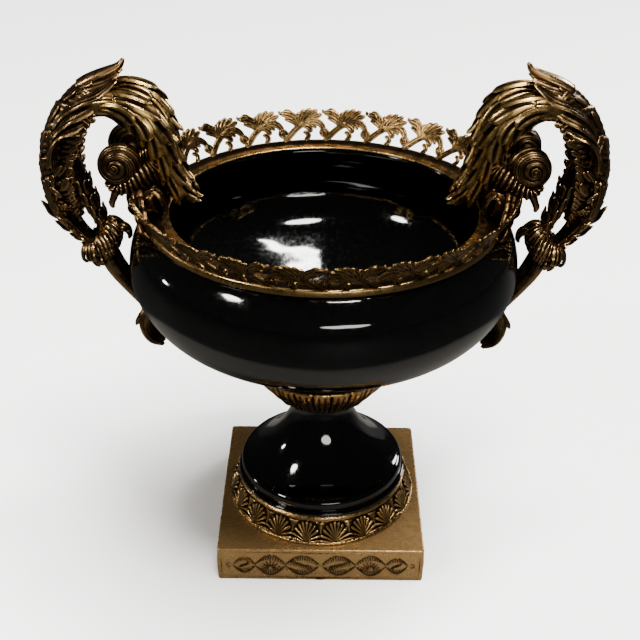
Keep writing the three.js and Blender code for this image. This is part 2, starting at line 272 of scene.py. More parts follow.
def add_node(tree, kind, settings=None, **inputs):
    """A shader node with its settings, and values or links on its inputs. An input is named, or is
    numbered as i0, i1 and so on."""
    made = tree.nodes.new(kind)
    for key, value in (settings or {}).items():
        setattr(made, key, value)
    for key, value in inputs.items():
        numbered = key[0] == "i" and key[1:].isdigit()
        socket = made.inputs[int(key[1:]) if numbered else key]
        if isinstance(value, bpy.types.NodeSocket):
            tree.links.new(value, socket)
        else:
            socket.default_value = value
    return made


def maths(tree, operation, a, b=0.0):
    """One sum on values or links."""
    return add_node(tree, "ShaderNodeMath", {"operation": operation}, i0=a, i1=b).outputs[0]


def ranged(tree, value, low, high, to_low=0.0, to_high=1.0):
    """A value moved smoothly from one range to another, and held at its ends."""
    smooth = {"interpolation_type": "SMOOTHSTEP"}
    return add_node(
        tree, "ShaderNodeMapRange", smooth, i0=value, i1=low, i2=high, i3=to_low, i4=to_high,
    ).outputs[0]


def blended(tree, share, first, second, how="MIX"):
    """Two colours, mixed by share."""
    kind = {"data_type": "RGBA", "blend_type": how}
    return add_node(tree, "ShaderNodeMix", kind, i0=share, i6=first, i7=second).outputs[2]


def noise(tree, place, scale, detail, rough=0.5):
    """A cloudy pattern from 0 to 1."""
    return add_node(
        tree, "ShaderNodeTexNoise", Vector=place, Scale=scale, Detail=detail, Roughness=rough,
    ).outputs[0]


def new_group(name, takes, gives):
    """An empty shader node group with named sockets."""
    group = bpy.data.node_groups.new(name, "ShaderNodeTree")
    for in_out, sockets in (("INPUT", takes), ("OUTPUT", gives)):
        for label, kind, value in sockets:
            socket = group.interface.new_socket(label, in_out=in_out, socket_type="NodeSocket" + kind)
            if value is not None:
                socket.default_value = value
    return group, group.nodes.new("NodeGroupInput"), group.nodes.new("NodeGroupOutput")


def aged_gilt_group():
    """Gilding rubbed bright where it stands out, and brown in its hollows: lacquer and dirt in
    crevices, and painted shade where nearby parts close them in.
    """
    name = "aged_gilt"
    if name in bpy.data.node_groups:
        return bpy.data.node_groups[name]
    group, given, result = new_group(
        name,
        [("Body", "Color", (0.3, 0.17, 0.06, 1)), ("Bright", "Color", (0.8, 0.55, 0.2, 1)),
         ("Dark", "Color", (0.03, 0.015, 0.006, 1)), ("Rubbed", "Float", 0.35),
         ("Mottle", "Float", 0.5), ("Grain", "Float", 900.0)],
        [("Color", "Color", None), ("Roughness", "Float", None), ("Height", "Float", None)],
    )
    place = add_node(group, "ShaderNodeTexCoord").outputs["Object"]
    wear = add_node(group, "ShaderNodeAttribute", {"attribute_name": "wear"}).outputs["Fac"]
    # hollow: how far nearby parts close a corner in, which paints shade into the colour
    closed = add_node(group, "ShaderNodeAttribute", {"attribute_name": "hollow"}).outputs["Fac"]
    closed = maths(group, "MULTIPLY", maths(group, "SUBTRACT", closed, 0.12), 2.2)
    wear = maths(group, "SUBTRACT", wear, closed)
    broad = noise(group, place, 28.0, 4.0)
    patches = noise(group, place, 130.0, 4.0, 0.6)
    grain = noise(group, place, given.outputs["Grain"], 3.0, 0.6)
    uneven = maths(group, "MULTIPLY", maths(group, "SUBTRACT", patches, 0.5), given.outputs["Mottle"])
    worn = maths(group, "ADD", wear, uneven)
    raised = ranged(group, maths(group, "SUBTRACT", worn, given.outputs["Rubbed"]), -0.25, 0.55)
    # Towards the Dark colour: lacquer and dirt in crevices, and painted shade where parts close in
    hollow = ranged(group, worn, 0.05, -0.75)
    tone = ranged(group, broad, 0.3, 0.7, 0.72, 1.2)
    tone = maths(group, "MULTIPLY", tone, ranged(group, patches, 0.3, 0.7, 0.82, 1.12))
    body = blended(group, 1.0, given.outputs["Body"], tone, "MULTIPLY")
    colour = blended(group, raised, body, given.outputs["Bright"])
    colour = blended(group, hollow, colour, given.outputs["Dark"])
    rough = ranged(group, patches, 0.3, 0.7, 0.26, 0.4)
    rough = maths(group, "ADD", rough, maths(group, "MULTIPLY", hollow, 0.3))
    rough = maths(group, "SUBTRACT", rough, maths(group, "MULTIPLY", raised, 0.05))
    height = maths(group, "MULTIPLY", patches, 0.5)
    height = maths(group, "ADD", maths(group, "MULTIPLY", grain, 0.5), height)
    for label, value in (("Color", colour), ("Roughness", rough), ("Height", height)):
        group.links.new(value, result.inputs[label])
    return group


def new_material(name):
    """A material with its node tree and shader."""
    material = bpy.data.materials.new(name)
    material.use_nodes = True
    return material, material.node_tree, material.node_tree.nodes["Principled BSDF"]


def gilt(name, body, bright, dark, rubbed, mottle, grain=900.0, bump=0.1, metal=1.0):
    """Gilt bronze in one of the urn's tones, made once for each name."""
    if name in bpy.data.materials:
        return bpy.data.materials[name]
    material, tree, shader = new_material(name)
    aged = add_node(tree, "ShaderNodeGroup", {"node_tree": aged_gilt_group()})
    for label, value in (("Body", body), ("Bright", bright), ("Dark", dark)):
        aged.inputs[label].default_value = (*value, 1)
    for label, value in (("Rubbed", rubbed), ("Mottle", mottle), ("Grain", grain)):
        aged.inputs[label].default_value = value
    relief = add_node(
        tree, "ShaderNodeBump", Strength=bump, Distance=0.0006, Height=aged.outputs["Height"],
    )
    tree.links.new(aged.outputs["Color"], shader.inputs["Base Color"])
    tree.links.new(aged.outputs["Roughness"], shader.inputs["Roughness"])
    tree.links.new(relief.outputs["Normal"], shader.inputs["Normal"])
    shader.inputs["Metallic"].default_value = metal
    return material


def porcelain(colours):
    """Black glaze, nearly a mirror, with the faint waves of fired glass and a little dust."""
    name = "black_glaze"
    if name in bpy.data.materials:
        return bpy.data.materials[name]
    material, tree, shader = new_material(name)
    place = add_node(tree, "ShaderNodeTexCoord").outputs["Object"]
    waves = noise(tree, place, 22.0, 2.0)
    dust = noise(tree, place, 260.0, 5.0, 0.7)
    dusty = ranged(tree, dust, 0.45, 0.75)
    tint = blended(tree, dusty, (*colours.glaze, 1), (*colours.glaze_dust, 1))
    relief = add_node(tree, "ShaderNodeBump", Strength=0.12, Distance=0.004, Height=waves)
    tree.links.new(tint, shader.inputs["Base Color"])
    tree.links.new(ranged(tree, dust, 0.35, 0.8, 0.035, 0.12), shader.inputs["Roughness"])
    tree.links.new(relief.outputs["Normal"], shader.inputs["Normal"])
    shader.inputs["IOR"].default_value = 1.5
    return material


def dark_gilt(colours):
    """Brown gilding of the handles, its body kept dark partly as painted shade on their faces."""
    return gilt("brown_gilt", colours.brown, colours.brown_edge, colours.hollow, 0.4, 0.6)


def bright_gilt(colours):
    """Rubbed gilding of the strands that droop over the rim."""
    return gilt("rubbed_gilt", colours.gold, colours.gold_edge, colours.hollow, 0.3, 0.5)


def cast_gilt(colours, name, rubbed, mottle, grain=900.0):
    """Gilding of the rim, the calyx and the palmette ring."""
    return gilt(name, colours.ring, colours.ring_edge, colours.hollow, rubbed, mottle, grain)


def plain_gilt(colours):
    """Mottled, duller gilding of the plinth's block."""
    return gilt(
        "mottled_gilt", colours.plinth, colours.plinth_edge, colours.hollow,
        rubbed=0.3, mottle=0.35, grain=500.0, bump=0.06, metal=0.72,
    )


# Plinth

BAND_RELIEF = 0.95  # room left for the bands on each side of the block
BAND_INSET = (3.6, 3.2)  # from the ends and from the edges of a side to its band's border
# The lozenges of half a side, from its middle outwards: where each starts and ends, how far its
# arcs rise, and what fills it.
LOZENGES = ((0.5, 32.5, 11.6, "branch"), (31.5, 60, 12.0, "fan"), (59, 80, 9.2, "bars"))


def rounded(bm, edges, offset, segments):
    """Rounds edges of a block."""
    bmesh.ops.bevel(
        bm, geom=edges, affect="EDGES", offset=offset, segments=segments, profile=0.5, material=-1,
    )


def raised_line(bm, points, wide, high, face, rows):
    """A low rounded line of x and z points that stands high off the plinth's front face."""
    line = [(x, -face, z) for x, z in points]
    sweep(bm, line, [high] * 3, [wide] * 3, rows=rows, sides=6)


def lozenge_arc(left, right, tall, middle, share):
    """A place on the arc of one lozenge side, at a share of its length."""
    x = left + (right - left) * share
    return x, middle + tall * math.sin(math.pi * share)


def lozenge_filling(bm, kind, centre, hand, middle, face):
    """What lies in the middle of a lozenge: slanting bars, a fan of rays or a leafy branch."""
    if kind == "bars":
        for k in range(-3, 4):
            x, z = centre + 1.3 * k, middle + 0.6 * k
            raised_line(bm, [(x - 1.5, z - 2.6), (x + 1.5, z + 2.6)], 0.6, 0.85, face, 4)
    elif kind == "fan":
        for k in range(-4, 5):
            lean = math.radians(23 * k)
            ray = [(centre + r * math.sin(lean), middle - 4.6 + r * math.cos(lean))
                   for r in (1.5, 6, 10.2)]
            raised_line(bm, ray, 0.65, 0.9, face, 5)
    else:
        stem = [(centre - hand * 10, middle - 3.4), (centre, middle - 0.4),
                (centre + hand * 9, middle + 3.6)]
        raised_line(bm, stem, 0.55, 0.6, face, 6)
        for k in range(-4, 5):
            x, z = centre + hand * 2.2 * k, middle + 0.75 * k
            for way in (-1, 1):
                raised_line(bm, [(x, z), (x + hand * 2.2, z + way * 3.0)], 0.55, 0.85, face, 4)


def plinth_band(bm, face, middle, long, tall):
    """The band of one side: a border, and lozenges of leaf strokes between crossing arcs."""
    border = [(-long, -tall), (long, -tall), (long, tall), (-long, tall)]
    for (x0, z0), (x1, z1) in zip(border, border[1:] + border[:1]):
        raised_line(bm, [(x0, middle + z0), (x1, middle + z1)], 0.5, 0.55, face, 2)
    for hand in (-1, 1):
        for left, right, high, kind in LOZENGES:
            strokes = round((right - left) / 2.2)
            for way in (-1, 1):
                side = (hand * left, hand * right, way * high, middle)
                raised_line(bm, [lozenge_arc(*side, k / 8) for k in range(9)], 0.6, 0.9, face, 14)
                for k in range(1, strokes):
                    x, z = lozenge_arc(*side, k / strokes)
                    inner = middle + (z - middle) * 0.42
                    raised_line(bm, [(x, z), (x + hand * 1.4, inner)], 0.62, 0.9, face, 5)
            lozenge_filling(bm, kind, (left + right) / 2 * hand, hand, middle, face)
        curl = [(hand * (83.5 + 2.2 * math.cos(turn)), middle + 2.2 * math.sin(turn))
                for turn in np.linspace(-2.6, 2.6, 7)]
        raised_line(bm, curl, 0.5, 0.6, face, 10)
    bead = bmesh.ops.create_uvsphere(bm, u_segments=12, v_segments=8, radius=1)["verts"]
    bmesh.ops.scale(bm, vec=(5.2, 0.8, 1.6), verts=bead)
    bmesh.ops.translate(bm, vec=(0, -face, 2.0), verts=bead)


class URN_OT_plinth(bpy.types.Operator):
    """Square plinth with softened edges and a band of raised lozenges on each side"""

    bl_idname = "urn.plinth"
    bl_label = "Plinth"

    def execute(self, context):
        colours = context.scene.urn_colours
        low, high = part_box("plinth")
        face, tall = high.x / MM - BAND_RELIEF, (high.z - low.z) / MM
        bm = bmesh.new()
        bmesh.ops.create_cube(bm, size=1)
        bmesh.ops.scale(bm, vec=(2 * face, 2 * face, tall), verts=bm.verts)
        bmesh.ops.translate(bm, vec=(0, 0, tall / 2), verts=bm.verts)
        rounded(bm, [e for e in bm.edges if abs(e.verts[0].co.z - e.verts[1].co.z) > 1], 3, 6)
        level = [e for e in bm.edges if abs(e.verts[0].co.z - e.verts[1].co.z) < 0.1
                 and len(e.link_faces) == 2 and min(abs(f.normal.z) for f in e.link_faces) < 0.5]
        rounded(bm, level, 1.1, 3)
        finish_piece(bm, "plinth_block", plain_gilt(colours), ["plinth"])

        side, bands = bmesh.new(), bmesh.new()
        plinth_band(side, face, tall / 2, face - BAND_INSET[0], tall / 2 - BAND_INSET[1])
        quarter = Matrix.Rotation(TURN / 4, 3, "Z")
        part = bpy.data.meshes.new("band")
        for _ in range(4):
            bmesh.ops.rotate(side, cent=(0, 0, 0), matrix=quarter, verts=side.verts)
            side.to_mesh(part)
            bands.from_mesh(part)
        bpy.data.meshes.remove(part)
        side.free()
        # The bands' raised strokes take a near-black body: painted shade that stands in for the dark
        # of engraved grooves
        finish_piece(bands, "plinth_bands", gilt(
            "band_gilt", colours.band, colours.plinth, colours.hollow, 0.6, 0.5,
        ))
        return {"FINISHED"}


# Ring of palmettes

RING_RADIUS = 84  # where one palmette's width is measured
PALMETTE_HEIGHT = 26.0
PALMETTE_GROUND = -0.9  # how deep the ground lies between the lobes
# Underside and top of the ring, as radius and height, in the order of its profile.
RING_UNDER = [(0, 36.4), (84, 36.4), (86.6, 36.4)]
RING_OVER = [(79.2, 59.4), (78.8, 60.9), (0, 60.9)]
CORD_TWISTS = 130


def palmette(x, t):
    """How high a palmette stands at x across and t up, in millimetres from its foot: lobes that rise
    from the foot, bend outwards and curl up at their tips."""
    best = np.full_like(x, PALMETTE_GROUND)
    tips = [(0, 23.5), (3.9, 22.8), (7.3, 20.6), (10.2, 16.8), (12.4, 11.6), (13.0, 6.2)]
    for k in range(-5, 6):
        across, up = math.copysign(tips[abs(k)][0], k), tips[abs(k)][1]
        for s in np.linspace(0.04, 1, 26):
            centre = (across * s ** 1.7, 0.6 + (up - 0.6) * s ** 0.85)
            wide = (0.55 + 1.15 * s) * min(1, 3.2 * (1.06 - s) ** 0.5)
            near = np.hypot(x - centre[0], t - centre[1]) / max(wide, 0.2)
            dome = np.sqrt(np.clip(1 - near ** 2, 0, 1))
            high = -0.35 + (0.9 + 1.5 * s ** 2.2) * dome
            best = np.maximum(best, np.where(near < 1, high, PALMETTE_GROUND))
    aside = np.abs(np.abs(x) - 13.2) / np.clip(0.33 * (t - 9), 0.01, 6)
    dart = np.clip(1 - aside, 0, 1) * (t > 9) * (t < 24)
    return np.maximum(best, PALMETTE_GROUND + 1.5 * np.sqrt(dart))


def hoop(bm, columns, sides, radius, height, thickness):
    """A hoop about the urn's axis, as thick as thickness says at a turn round the axis and a turn
    round the hoop."""

    def place(around, share):
        turn, twist = around * TURN, share * TURN
        thick = thickness(turn, twist)
        out = radius + thick * math.cos(twist)
        return out * math.cos(turn), out * math.sin(turn), height + thick * math.sin(twist)

    cloth(bm, columns, sides, place)


class URN_OT_acanthus_ring(bpy.types.Operator):
    """Sloping ring of acanthus palmettes with a plain fillet above and a corded edge below"""

    bl_idname = "urn.acanthus_ring"
    bl_label = "Acanthus ring"

    def execute(self, context):
        leaves = context.scene.urn_sizes.ring_leaves
        across, up = 60, 56  # grid steps of one palmette
        ends = len(RING_UNDER) + len(RING_OVER)
        slope = smooth_line(RING_LINE, up)
        pitch = TURN * RING_RADIUS / leaves
        x, t = np.meshgrid(
            np.linspace(-0.5, 0.5, across + 1) * pitch, np.linspace(0, 1, up + 1) * PALMETTE_HEIGHT,
        )
        relief = palmette(x, t)
        relief[0, :] = relief[-1, :] = -0.6
        columns = across * leaves

        def place(around, share):
            row = round(share * (up + ends)) - len(RING_UNDER)
            angle = around * TURN
            if row < 0:
                radius, z = RING_UNDER[row]
            elif row > up:
                radius, z = RING_OVER[row - up - 1]
            else:
                high = relief[row, round(around * columns) % across]
                radius, z = slope[row][0] + high * 0.9, slope[row][1] + high * 0.42
            return radius * math.sin(angle), -radius * math.cos(angle), z

        bm = bmesh.new()
        cloth(bm, columns, up + ends, place)
        hoop(bm, 8 * CORD_TWISTS, 8, 87.4, 37.9,
             lambda turn, twist: 1.25 + 0.22 * math.cos(2 * twist + turn * CORD_TWISTS))
        hoop(bm, 160, 10, 78.4, 59.6, lambda turn, twist: 1.3)
        material = cast_gilt(context.scene.urn_colours, "ring_gilt", 0.3, 0.5)
        finish_piece(bm, "palmette_ring", material, ["acanthus_ring"], reach=0.45, steps=8)
        return {"FINISHED"}


# Porcelain


class URN_OT_porcelain(bpy.types.Operator):
    """Flared foot, and the wide hollow bowl with its true wall"""

    bl_idname = "urn.porcelain"
    bl_label = "Porcelain foot and bowl"

    def execute(self, context):
        glaze = porcelain(context.scene.urn_colours)
        steps = 110  # along each profile
        bm = bmesh.new()
        bell = smooth_line(FOOT_LINE, steps)
        turned(bm, [(0, 61.4), *bell, (0, 140.9)], 144)
        finish_piece(bm, "porcelain_foot", glaze, ["foot"], slot="porcelain")

        outer = smooth_line(BOWL_LINE, steps)
        along = unit(np.gradient(outer, axis=0))
        wall = context.scene.urn_sizes.bowl_wall / MM
        inner = outer + np.stack([-along[:, 1], along[:, 0]], axis=1) * wall
        inner[0, 0] = 0
        lip = (outer[-1] + inner[-1]) / 2 - (1.2, 0)
        bm = bmesh.new()
        turned(bm, [*outer, lip, *inner[::-1]], 176)
        finish_piece(bm, "porcelain_bowl", glaze, ["bowl"], slot="porcelain")
        return {"FINISHED"}


# Calyx

# Underside and top of the calyx, as radius and height, in the order of its profile.
CALYX_UNDER = [(0, 141.5), (25, 141.5)]
CALYX_OVER = [(63.2, 186.4), (61, 185.2)]


class URN_OT_calyx(bpy.types.Operator):
    """Cup of upright gadroons that holds the bowl"""

    bl_idname = "urn.calyx"
    bl_label = "Calyx"

    def execute(self, context):
        flutes = context.scene.urn_sizes.calyx_flutes
        rows, deep = 40, 2.0
        ends = len(CALYX_UNDER) + len(CALYX_OVER)
        line = smooth_line(CALYX_LINE, rows)
        along = unit(np.gradient(line, axis=0))

        def place(around, share):
            row = round(share * (rows + ends)) - len(CALYX_UNDER)
            turn = around * TURN
            if row < 0 or row > rows:
                radius, z = CALYX_UNDER[row] if row < 0 else CALYX_OVER[row - rows - 1]
                return radius * math.cos(turn), radius * math.sin(turn), z
            t = row / rows
            phase = abs(math.cos(around * math.pi * flutes))
            end = 0.075 * (1 - phase ** 1.4)
            round_end = math.sqrt(max(0.0, min(1.0, (t - end) / 0.09)))
            rim = 1 - 0.85 * max(0.0, (t - 0.9) / 0.1)
            swell = (phase ** 0.55) * deep * round_end * rim - deep * rim
            rib = 0.55 * math.cos(TURN * flutes * 3 * around) * round_end * rim
            out = swell + rib
            radius = line[row][0] + along[row][1] * out
            z = line[row][1] - along[row][0] * out * 0.6
            return radius * math.cos(turn), radius * math.sin(turn), z

        bm = bmesh.new()
        cloth(bm, flutes * 24, rows + ends, place)
        material = cast_gilt(context.scene.urn_colours, "calyx_gilt", 0.3, 0.6)
        finish_piece(bm, "gadrooned_calyx", material, ["calyx"], reach=0.45)
        return {"FINISHED"}


# Rim and gallery

# Section of the rim plate, as radius and height: its inner edge, the flat, the bead and the skirt.
RIM_LINE = [
    (129.3, 332.9), (128.9, 333.5), (129.2, 334.3), (130.2, 334.75), (137, 334.6), (145.0, 334.7),
    (146.6, 335.4), (148.0, 335.2), (148.7, 334.2), (148.6, 331.5), (148.9, 330.2), (148.2, 329.5),
    (147.2, 329.9), (146.9, 332.0), (146.6, 332.8), (140, 332.95),
]
GALLERY_FOOT = 147.6
GALLERY_TOP = 334.75
GALLERY_LEAN = math.radians(31)
GALLERY_PITCHES = 24
PITCH = TURN * (GALLERY_FOOT + 8) / GALLERY_PITCHES  # one scroll of the gallery, at mid height

# One scroll of the gallery, flat, in pitches of width. Each lobe has its middle line, its widths
# along it, the steps along it, its veins and its depth in millimetres.
SCROLL_STEM = (
    [(-0.05, 0.0), (0.05, 0.05), (0.17, 0.16), (0.29, 0.27), (0.42, 0.36), (0.50, 0.46)],
    [0.04, 0.075, 0.08, 0.075, 0.07, 0.05], 14, 3, 2.0,
)
FAN_HEART = (0.38, 0.32)
# The tip of each lobe of the fan leaf, how far its middle bends aside, and its width.
FAN_LOBES = (
    ((0.40, 0.68), (-0.03, 0.0), 0.075), ((0.53, 0.745), (-0.02, 0.02), 0.085),
    ((0.68, 0.765), (0.0, 0.03), 0.09), ((0.83, 0.73), (0.02, 0.04), 0.088),
    ((0.94, 0.62), (0.03, 0.05), 0.08), ((0.86, 0.50), (0.02, 0.03), 0.065),
)
SCROLL_LOBES = (
    ([(0.42, 0.36), (0.58, 0.44), (0.76, 0.45), (0.90, 0.38), (0.97, 0.25), (0.98, 0.14),
      (0.91, 0.09)],
     [0.04, 0.08, 0.09, 0.08, 0.065, 0.05, 0.035], 20, 3, 1.8),
    ([(0.62, 0.40), (0.72, 0.36), (0.80, 0.28)], [0.03, 0.055, 0.03], 8, 2, 1.4),
    ([(0.28, 0.24), (0.34, 0.38), (0.30, 0.52), (0.19, 0.61), (0.07, 0.645), (-0.05, 0.65)],
     [0.04, 0.075, 0.095, 0.10, 0.085, 0.03], 18, 3, 1.9),
    ([(0.32, 0.34), (0.26, 0.45), (0.15, 0.51), (0.04, 0.515)],
     [0.03, 0.065, 0.065, 0.02], 10, 2, 1.5),
    ([(0.26, 0.50), (0.24, 0.60), (0.16, 0.70), (0.06, 0.735)],
     [0.03, 0.055, 0.055, 0.025], 10, 2, 1.6),
    ([(0.44, 0.36), (0.56, 0.33), (0.65, 0.26), (0.63, 0.18)],
     [0.03, 0.06, 0.07, 0.04], 10, 2, 1.7),
    ([(0.46, 0.20), (0.55, 0.19), (0.60, 0.12), (0.56, 0.05), (0.50, 0.0)],
     [0.03, 0.06, 0.065, 0.06, 0.05], 12, 2, 1.7),
)


def scroll_lobe(bm, points, widths, rows, veins, deep):
    """A flat lobe of the scroll with veins along it, closed at both ends."""
    middle = smooth_line([(u, v, 0) for u, v in points], rows)
    along = unit(np.gradient(middle, axis=0))
    across = np.stack([-along[:, 1], along[:, 0], np.zeros(rows + 1)], axis=1)
    wide = spread(widths, rows)

    def place(around, share):
        i = round(share * rows)
        c, s = math.cos(around * TURN), math.sin(around * TURN)
        ridge = 0.5 - 0.5 * math.cos(math.pi * (veins * c + veins % 2))
        fade = 0 if i in (0, rows) else 1
        lift = s * (deep / PITCH) * fade * (0.3 + 0.7 * ridge)
        return middle[i] + across[i] * c * wide[i] * fade + np.array((0, 0, lift))

    closed_cloth(bm, 24, rows, place, 1e-4)


def gallery_motif(bm):
    """One leaf scroll of the gallery, flat, with its foot at 0 and one pitch to the next: stem, fan
    leaf, hooked lobe, side leaf, small foot, volute and knobs."""
    scroll_lobe(bm, *SCROLL_STEM)
    for tip, bend, wide in FAN_LOBES:
        half = [(heart + end) / 2 + aside for heart, end, aside in zip(FAN_HEART, tip, bend)]
        scroll_lobe(bm, [FAN_HEART, half, tip], [0.04, 0.07, wide, wide * 0.85, 0.035], 12, 3, 1.9)
    for lobe in SCROLL_LOBES:
        scroll_lobe(bm, *lobe)
    curl = [(-0.04 + r * math.cos(turn), 0.17 + r * math.sin(turn))
            for turn, r in zip(np.linspace(-1.5, 5.4, 12), np.linspace(0.125, 0.02, 12))]
    scroll_lobe(bm, curl, [0.045, 0.055, 0.055, 0.05, 0.045, 0.035], 26, 2, 1.9)
    for u, v, size in ((-0.05, 0.70, 0.035), (0.95, 0.66, 0.03)):
        ball = bmesh.ops.create_uvsphere(bm, u_segments=8, v_segments=6, radius=size)["verts"]
        bmesh.ops.translate(bm, vec=(u, v, 0), verts=ball)


class URN_OT_rim(bpy.types.Operator):
    """Flat gilt rim with a turned-down skirt, and the pierced leaf gallery leaning out from it"""

    bl_idname = "urn.rim"
    bl_label = "Rim and gallery"

    def execute(self, context):
        colours, sizes = context.scene.urn_colours, context.scene.urn_sizes
        bm = bmesh.new()
        turned(bm, RIM_LINE, 192, closed=True)
        material = cast_gilt(colours, "rim_gilt", 0.3, 0.4, 600.0)
        finish_piece(bm, "rim_plate", material, ["rim_gallery"], reach=0.3)

        motif = bmesh.new()
        gallery_motif(motif)
        bmesh.ops.recalc_face_normals(motif, faces=motif.faces)
        # Occlusion of one scroll, which the gallery's gilding shows as painted shade
        mark_hollow_shade(motif, 3.0, PITCH)
        flat = [tuple(v.co) for v in motif.verts]
        shape = bpy.data.meshes.new("motif")
        bm = bmesh.new()
        bm.verts.layers.float.new("hollow")
        step = TURN / sizes.gallery_pitches
        each = sizes.gallery_each_side
        sine, cosine = math.sin(GALLERY_LEAN), math.cos(GALLERY_LEAN)
        for middle in (0.25, 0.75):
            for k in range(each):
                start = middle * sizes.gallery_pitches + k + (1 - each) / 2 + 0.5
                for vert, (u, v, w) in zip(motif.verts, flat):
                    angle = (start - u) * step
                    out = GALLERY_FOOT - 1.6 + v * PITCH * sine + w * PITCH * cosine
                    up = GALLERY_TOP + v * PITCH * cosine - w * PITCH * sine
                    vert.co = (out * math.cos(angle), out * math.sin(angle), up)
                motif.to_mesh(shape)
                bm.from_mesh(shape)
        motif.free()
        bpy.data.meshes.remove(shape)
        finish_piece(bm, "leaf_gallery", gilt(
            "gallery_gilt", colours.leaf, colours.leaf_edge, colours.hollow, 0.3, 0.6,
        ), reach=0.35)
        return {"FINISHED"}


# Handles

LINE_STEPS = 200  # even steps at which a handle's line, and what varies along it, are worked out
VOLUTE_EYE = (164.5, 23.5, 378.5)
VOLUTE_RADIUS = 16.6
VOLUTE_HALF = 8.0


def planar(line, side):
    """Points of a handle line, each with its sideways place."""
    return [(x, y, z) for (x, z), y in zip(line, np.broadcast_to(side, len(line)))]


def both_handles(bm, name, material, **look):
    """Finishes the right handle's piece and its turned copy on the left."""
    right = finish_piece(bm, name + "_right", material, ["handle_right"], **look)
    turned_mesh = right.data.copy()
    turned_mesh.transform(Matrix.Rotation(math.pi, 4, "Z"))
    place_piece(name + "_left", turned_mesh, ["handle_left"])


class HandleLine:
    """A handle line with its outward and along directions at any share of its length."""

    def __init__(self, line):
        self.places = smooth_line(line, LINE_STEPS)
        self.ways = unit(np.gradient(self.places, axis=0))

    def at(self, share):
        """The place on the line, and its direction there."""
        i = min(LINE_STEPS, max(0, round(share * LINE_STEPS)))
        return self.places[i], self.ways[i]

    def beside(self, share, outward, y):
        """The point off the line by outward, away from the bowl, and y across."""
        (x, z), (dx, dz) = self.at(share)
        return np.array((x + dz * outward, y, z - dx * outward))


def arm_face(line, depth, width, share, s, lift):
    """A point of the arm's curved leaf at s across, -1 to 1, and lift off its surface."""
    rows = len(depth) - 1
    i = min(rows, max(0, round(share * rows)))
    turn = s * math.pi / 2
    reach = depth[i] * (1 - math.cos(turn))
    wide = (width[i] + lift * abs(math.sin(turn))) * math.sin(turn)
    return line.beside(share, lift * math.cos(turn) - reach, wide)


def arm_relief(share, s, slant):
    """Carving of the arm: overlapping lobes, slanting veins, hollow cheeks and a raised midrib."""
    step = 1.7 * (slant % 1.0) ** 1.5
    veins = 0.5 * math.cos(TURN * 4 * slant) * (0.4 + 0.6 * abs(s))
    rib = 1.0 * math.exp(-((s / 0.06) ** 2)) - 0.7 * math.exp(-(((abs(s) - 0.13) / 0.05) ** 2))
    cheek = math.exp(-(((abs(s) - 0.66) / 0.17) ** 2)) * min(1, max(0, (0.66 - share) / 0.12))
    rough = (noise_at(Vector((share * 46, s * 7, 0)))
             + 0.6 * noise_at(Vector((share * 95, s * 15, 3))))
    return step + veins + rib + cheek * (2.4 * rough - 3.0)


def arm_shell(bm, lobes):
    """The broad leaf of the arm: a channel open towards the bowl, with inner and outer faces and
    saw-toothed edges."""
    line = HandleLine(ARM_LINE)
    rows, half = 190, 60
    depth, width = spread(ARM_DEPTH, rows), spread(ARM_WIDTH, rows)

    def place(around, share):
        j = round(around * 2 * half) % (2 * half)
        inner = j >= half
        s = (1 - 2 * (j - half) / (half - 1)) if inner else (2 * j / (half - 1) - 1)
        slant = share * lobes - 0.95 * abs(s)
        ends = min(1, (1 - share) * 14, 0.3 + share * 14)
        lift = (arm_relief(share, s, slant) - 1.6) * ends
        if inner:
            wall = min(2.3, 0.4 * width[round(share * rows)]) * (1 - 0.45 * s * s)
            veins = 0.5 * math.cos(TURN * 3 * slant)
            lift = (lift * 0.35 + veins * ends) - wall - 0.9
        edge = max(0, abs(s) - 0.7) / 0.3
        tooth = edge * (4.6 * (slant % 1.0) ** 1.3 - 2.3) * ends
        point, (dx, dz) = arm_face(line, depth, width, share, s, lift), line.at(share)[1]
        return point + np.array((-dz, 0, dx)) * tooth + np.array((dx, 0, dz)) * tooth * 0.5

    closed_cloth(bm, 2 * half, rows, place)


def arm_feet(bm):
    """The two leafy strands into which the arm parts above the collar, with a gap between them."""
    look = dict(rows=12, sides=18, flutes=2, tip=0.25, flute=0.6)
    front = ((0, 0.55, 7), (0.07, 0.9, 8.5), (0.13, 1.0, 9), (0.18, 1.35, 9.5))
    edge = ((0, -1, 0.7), (0.06, 0, 0.96), (0.12, 0.5, 1.02), (0.17, 2.5, 1.08))
    for points, thick, wide, way in ARM_STRANDS:
        sweep(bm, planar(points, 0), wide, thick, rows=60, sides=48, flutes=7, flute=0.55)
        line = HandleLine(points)
        for hand in (-1, 1):
            for k in range(4):
                share = 0.10 + 0.17 * k
                lift = spread(thick, LINE_STEPS)[round(share * LINE_STEPS)] * way
                leaf = [line.beside(share + step, lift * (out + 0.1), hand * y * (0.7 + 0.12 * k))
                        for step, out, y in front]
                blade(bm, leaf, 3.4, 1.8, side=(0.3, hand, 0.3), **look)
            for k in range(5):
                share = 0.08 + 0.14 * k
                wing = spread(wide, LINE_STEPS)[round(share * LINE_STEPS)]
                leaf = [line.beside(share + step, out * way, hand * wing * y)
                        for step, out, y in edge]
                blade(bm, leaf, 3.6, 1.8, side=(0.6, 0, 0.6), **look)


